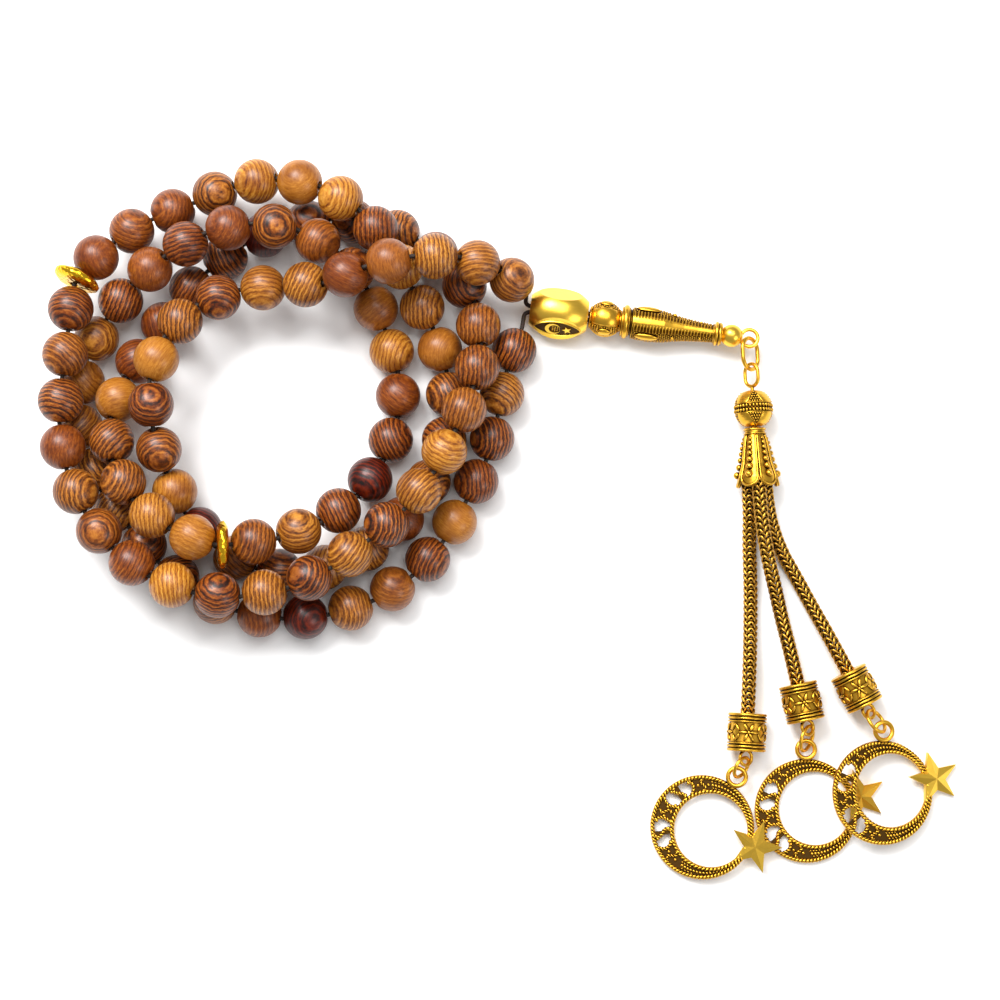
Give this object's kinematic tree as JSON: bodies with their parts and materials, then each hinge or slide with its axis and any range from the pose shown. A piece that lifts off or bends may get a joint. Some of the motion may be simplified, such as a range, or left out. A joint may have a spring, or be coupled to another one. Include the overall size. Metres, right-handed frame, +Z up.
{
  "type": "misbaha prayer beads",
  "caption": "Long string of round striped wooden prayer beads wound into a ring, with a gold leader, cone cap, three woven chains and crescent and star charms.",
  "frame": {"origin": "middle of the object's outline, on the table it lies on", "axes": "+X from the ring of beads towards the tassel, +Y away from the charms, +Z up from the table"},
  "size_m": [0.159, 0.125, 0.0215],
  "materials": {
    "wenge_wood": "satin lacquer",
    "string": "waxed cord",
    "hammered_gold": "bright hammered gold plate",
    "woven_gold": "antique gold, dark in the recesses",
    "antique_gold": "antique gold plate, dark in the recesses"
  },
  "bodies": {
    "string_group": {"string": "string", "beads_second": "wenge_wood", "beads_third": "wenge_wood", "junction_bead": "antique_gold"},
    "imame": {"imame_head": "antique_gold", "imame_body": "antique_gold", "end_ball": "antique_gold", "knot": "string"},
    "oval_ring": {"oval_ring": "antique_gold"},
    "pin_group": {"eye_pin": "antique_gold", "cone_cap": "antique_gold"},
    "round_bead": {"round_bead": "antique_gold"},
    "chain_left": {"chain_left": "woven_gold", "end_cap_left": "antique_gold"},
    "link_left": {"link_left": "antique_gold"},
    "charm_left": {"charm_left": "antique_gold"},
    "chain_middle": {"chain_middle": "woven_gold", "end_cap_middle": "antique_gold"},
    "link_middle": {"link_middle": "antique_gold"},
    "charm_middle": {"charm_middle": "antique_gold"},
    "chain_right": {"chain_right": "woven_gold", "end_cap_right": "antique_gold"},
    "link_right": {"link_right": "antique_gold"},
    "charm_right": {"charm_right": "antique_gold"},
    "divider_1": {"divider_1": "hammered_gold"},
    "divider_2": {"divider_2": "hammered_gold"},
    "bead_01": {"bead_01": "wenge_wood"},
    "bead_02": {"bead_02": "wenge_wood"},
    "bead_03": {"bead_03": "wenge_wood"},
    "bead_04": {"bead_04": "wenge_wood"},
    "bead_05": {"bead_05": "wenge_wood"},
    "bead_06": {"bead_06": "wenge_wood"},
    "bead_07": {"bead_07": "wenge_wood"},
    "bead_08": {"bead_08": "wenge_wood"},
    "bead_09": {"bead_09": "wenge_wood"},
    "bead_10": {"bead_10": "wenge_wood"},
    "bead_11": {"bead_11": "wenge_wood"},
    "bead_12": {"bead_12": "wenge_wood"},
    "bead_13": {"bead_13": "wenge_wood"},
    "bead_14": {"bead_14": "wenge_wood"},
    "bead_15": {"bead_15": "wenge_wood"},
    "bead_16": {"bead_16": "wenge_wood"},
    "bead_17": {"bead_17": "wenge_wood"},
    "bead_18": {"bead_18": "wenge_wood"},
    "bead_19": {"bead_19": "wenge_wood"},
    "bead_20": {"bead_20": "wenge_wood"},
    "bead_21": {"bead_21": "wenge_wood"},
    "bead_22": {"bead_22": "wenge_wood"},
    "bead_23": {"bead_23": "wenge_wood"},
    "bead_24": {"bead_24": "wenge_wood"},
    "bead_25": {"bead_25": "wenge_wood"},
    "bead_26": {"bead_26": "wenge_wood"},
    "bead_27": {"bead_27": "wenge_wood"},
    "bead_28": {"bead_28": "wenge_wood"},
    "bead_29": {"bead_29": "wenge_wood"},
    "bead_30": {"bead_30": "wenge_wood"},
    "bead_31": {"bead_31": "wenge_wood"},
    "bead_32": {"bead_32": "wenge_wood"},
    "bead_33": {"bead_33": "wenge_wood"}
  },
  "joints": [
    {"name": "imame_swing", "type": "hinge", "parent": "string_group", "child": "imame", "pos_m": [0.01641, 0.03543, 0.0036], "axis": [0, 0, 1], "range_deg": [-6, 6]},
    {"name": "oval_ring_swing", "type": "hinge", "parent": "imame", "child": "oval_ring", "pos_m": [0.04382, 0.03178, 0.0036], "axis": [0, 0, 1], "range_deg": [-12, 20]},
    {"name": "pin_swing", "type": "hinge", "parent": "oval_ring", "child": "pin_group", "pos_m": [0.04408, 0.02623, 0.0036], "axis": [0, 0, 1], "range_deg": [-15, 15]},
    {"name": "round_bead_spin", "type": "hinge", "parent": "pin_group", "child": "round_bead", "pos_m": [0.04441, 0.01927, 0.0036], "axis": [-0.0471, 0.9989, 0], "continuous": true},
    {"name": "chain_left_swing", "type": "hinge", "parent": "pin_group", "child": "chain_left", "pos_m": [0.04347, 0.00676, 0.00273], "axis": [0, 0, 1], "range_deg": [-7, 2]},
    {"name": "link_left_swing", "type": "hinge", "parent": "chain_left", "child": "link_left", "pos_m": [0.04256, -0.04155, 0.0034], "axis": [0, 0, 1], "range_deg": [-4, 4]},
    {"name": "charm_left_swing", "type": "hinge", "parent": "link_left", "child": "charm_left", "pos_m": [0.04104, -0.04486, 0.00271], "axis": [-0.0958, 0, 0.9954], "range_deg": [-5, 5]},
    {"name": "chain_middle_swing", "type": "hinge", "parent": "pin_group", "child": "chain_middle", "pos_m": [0.04499, 0.00683, 0.00532], "axis": [0, 0, 1], "range_deg": [-2, 2]},
    {"name": "link_middle_swing", "type": "hinge", "parent": "chain_middle", "child": "link_middle", "pos_m": [0.0533, -0.03628, 0.0034], "axis": [0, 0, 1], "range_deg": [-4, 4]},
    {"name": "charm_middle_swing", "type": "hinge", "parent": "link_middle", "child": "charm_middle", "pos_m": [0.05326, -0.04016, 0.00127], "axis": [0, 0, 1], "range_deg": [-5, 5]},
    {"name": "chain_right_swing", "type": "hinge", "parent": "pin_group", "child": "chain_right", "pos_m": [0.04651, 0.0069, 0.00273], "axis": [0, 0, 1], "range_deg": [-2, 8]},
    {"name": "link_right_swing", "type": "hinge", "parent": "chain_right", "child": "link_right", "pos_m": [0.06391, -0.0335, 0.0034], "axis": [0, 0, 1], "range_deg": [-4, 4]},
    {"name": "charm_right_swing", "type": "hinge", "parent": "link_right", "child": "charm_right", "pos_m": [0.06648, -0.03696, 0.00354], "axis": [0.1736, 0, 0.9848], "range_deg": [-5, 5]},
    {"name": "turn_divider_1", "type": "hinge", "parent": "string_group", "child": "divider_1", "pos_m": [-0.07329, 0.04094, 0.01058], "axis": [-0.3675, -0.9056, 0.2118], "continuous": true},
    {"name": "turn_divider_2", "type": "hinge", "parent": "string_group", "child": "divider_2", "pos_m": [-0.04727, -0.00525, 0.01321], "axis": [0.9889, 0.0306, -0.1452], "continuous": true},
    {"name": "turn_bead_01", "type": "hinge", "parent": "string_group", "child": "bead_01", "pos_m": [0.00207, 0.04119, 0.00866], "axis": [-0.6456, 0.3592, 0.6739], "continuous": true},
    {"name": "turn_bead_02", "type": "hinge", "parent": "string_group", "child": "bead_02", "pos_m": [-0.0039, 0.04332, 0.0135], "axis": [-0.8335, 0.1681, 0.5264], "continuous": true},
    {"name": "turn_bead_03", "type": "hinge", "parent": "string_group", "child": "bead_03", "pos_m": [-0.01114, 0.04383, 0.01672], "axis": [-0.9613, -0.0406, 0.2724], "continuous": true},
    {"name": "turn_bead_04", "type": "hinge", "parent": "string_group", "child": "bead_04", "pos_m": [-0.01897, 0.04283, 0.01757], "axis": [-0.976, -0.208, -0.064], "continuous": true},
    {"name": "turn_bead_05", "type": "hinge", "parent": "string_group", "child": "bead_05", "pos_m": [-0.02644, 0.04084, 0.01571], "axis": [-0.8731, -0.2851, -0.3954], "continuous": true},
    {"name": "turn_bead_06", "type": "hinge", "parent": "string_group", "child": "bead_06", "pos_m": [-0.03353, 0.03974, 0.01225], "axis": [-0.8856, 0.0134, -0.4642], "continuous": true},
    {"name": "turn_bead_07", "type": "hinge", "parent": "string_group", "child": "bead_07", "pos_m": [-0.0411, 0.0396, 0.00985], "axis": [-0.9903, -0.0481, -0.1301], "continuous": true},
    {"name": "turn_bead_08", "type": "hinge", "parent": "string_group", "child": "bead_08", "pos_m": [-0.04883, 0.03793, 0.00987], "axis": [-0.9209, -0.3659, 0.1341], "continuous": true},
    {"name": "turn_bead_09", "type": "hinge", "parent": "string_group", "child": "bead_09", "pos_m": [-0.05523, 0.03352, 0.01128], "axis": [-0.6581, -0.7217, 0.2146], "continuous": true},
    {"name": "turn_bead_10", "type": "hinge", "parent": "string_group", "child": "bead_10", "pos_m": [-0.05904, 0.02673, 0.01255], "axis": [-0.2835, -0.954, 0.0976], "continuous": true},
    {"name": "turn_bead_11", "type": "hinge", "parent": "string_group", "child": "bead_11", "pos_m": [-0.05989, 0.01887, 0.01238], "axis": [0.073, -0.9875, -0.1393], "continuous": true},
    {"name": "turn_bead_12", "type": "hinge", "parent": "string_group", "child": "bead_12", "pos_m": [-0.05875, 0.01137, 0.01002], "axis": [0.2101, -0.8701, -0.4458], "continuous": true},
    {"name": "turn_bead_13", "type": "hinge", "parent": "string_group", "child": "bead_13", "pos_m": [-0.05638, 0.00442, 0.00683], "axis": [0.3794, -0.8572, -0.3482], "continuous": true},
    {"name": "turn_bead_14", "type": "hinge", "parent": "string_group", "child": "bead_14", "pos_m": [-0.05222, -0.00202, 0.00477], "axis": [0.6516, -0.741, -0.1623], "continuous": true},
    {"name": "turn_bead_15", "type": "hinge", "parent": "string_group", "child": "bead_15", "pos_m": [-0.04602, -0.00691, 0.004], "axis": [0.8832, -0.4681, -0.029], "continuous": true},
    {"name": "turn_bead_16", "type": "hinge", "parent": "string_group", "child": "bead_16", "pos_m": [-0.03843, -0.00922, 0.00394], "axis": [0.9946, -0.1021, 0.016], "continuous": true},
    {"name": "turn_bead_17", "type": "hinge", "parent": "string_group", "child": "bead_17", "pos_m": [-0.03051, -0.00857, 0.00402], "axis": [0.9646, 0.2636, 0.0025], "continuous": true},
    {"name": "turn_bead_18", "type": "hinge", "parent": "string_group", "child": "bead_18", "pos_m": [-0.02324, -0.0053, 0.004], "axis": [0.8381, 0.5455, -0.0072], "continuous": true},
    {"name": "turn_bead_19", "type": "hinge", "parent": "string_group", "child": "bead_19", "pos_m": [-0.01715, -0.00015, 0.00396], "axis": [0.6774, 0.7356, -0.0019], "continuous": true},
    {"name": "turn_bead_20", "type": "hinge", "parent": "string_group", "child": "bead_20", "pos_m": [-0.01253, 0.00637, 0.004], "axis": [0.4697, 0.8827, 0.0105], "continuous": true},
    {"name": "turn_bead_21", "type": "hinge", "parent": "string_group", "child": "bead_21", "pos_m": [-0.00975, 0.01385, 0.00394], "axis": [0.2199, 0.9752, -0.0236], "continuous": true},
    {"name": "turn_bead_22", "type": "hinge", "parent": "string_group", "child": "bead_22", "pos_m": [-0.00909, 0.0218, 0.00398], "axis": [-0.0557, 0.9979, 0.0318], "continuous": true},
    {"name": "turn_bead_23", "type": "hinge", "parent": "string_group", "child": "bead_23", "pos_m": [-0.01053, 0.02961, 0.00475], "axis": [-0.3019, 0.9397, 0.1604], "continuous": true},
    {"name": "turn_bead_24", "type": "hinge", "parent": "string_group", "child": "bead_24", "pos_m": [-0.01359, 0.03673, 0.00668], "axis": [-0.4598, 0.8286, 0.3194], "continuous": true},
    {"name": "turn_bead_25", "type": "hinge", "parent": "string_group", "child": "bead_25", "pos_m": [-0.01721, 0.04338, 0.00941], "axis": [-0.4373, 0.8251, 0.3579], "continuous": true},
    {"name": "turn_bead_26", "type": "hinge", "parent": "string_group", "child": "bead_26", "pos_m": [-0.02158, 0.04972, 0.01147], "axis": [-0.6485, 0.7456, 0.1531], "continuous": true},
    {"name": "turn_bead_27", "type": "hinge", "parent": "string_group", "child": "bead_27", "pos_m": [-0.02759, 0.05492, 0.01179], "axis": [-0.8372, 0.542, -0.0729], "continuous": true},
    {"name": "turn_bead_28", "type": "hinge", "parent": "string_group", "child": "bead_28", "pos_m": [-0.03479, 0.05804, 0.0106], "axis": [-0.947, 0.2315, -0.2227], "continuous": true},
    {"name": "turn_bead_29", "type": "hinge", "parent": "string_group", "child": "bead_29", "pos_m": [-0.04247, 0.05862, 0.00857], "axis": [-0.9557, -0.0894, -0.2803], "continuous": true},
    {"name": "turn_bead_30", "type": "hinge", "parent": "string_group", "child": "bead_30", "pos_m": [-0.05001, 0.05684, 0.00667], "axis": [-0.9159, -0.3527, -0.1918], "continuous": true},
    {"name": "turn_bead_31", "type": "hinge", "parent": "string_group", "child": "bead_31", "pos_m": [-0.05741, 0.05387, 0.00613], "axis": [-0.9216, -0.3835, 0.0593], "continuous": true},
    {"name": "turn_bead_32", "type": "hinge", "parent": "string_group", "child": "bead_32", "pos_m": [-0.06438, 0.05012, 0.00722], "axis": [-0.8096, -0.5477, 0.211], "continuous": true},
    {"name": "turn_bead_33", "type": "hinge", "parent": "string_group", "child": "bead_33", "pos_m": [-0.07022, 0.04503, 0.00918], "axis": [-0.6401, -0.7168, 0.2765], "continuous": true}
  ]
}
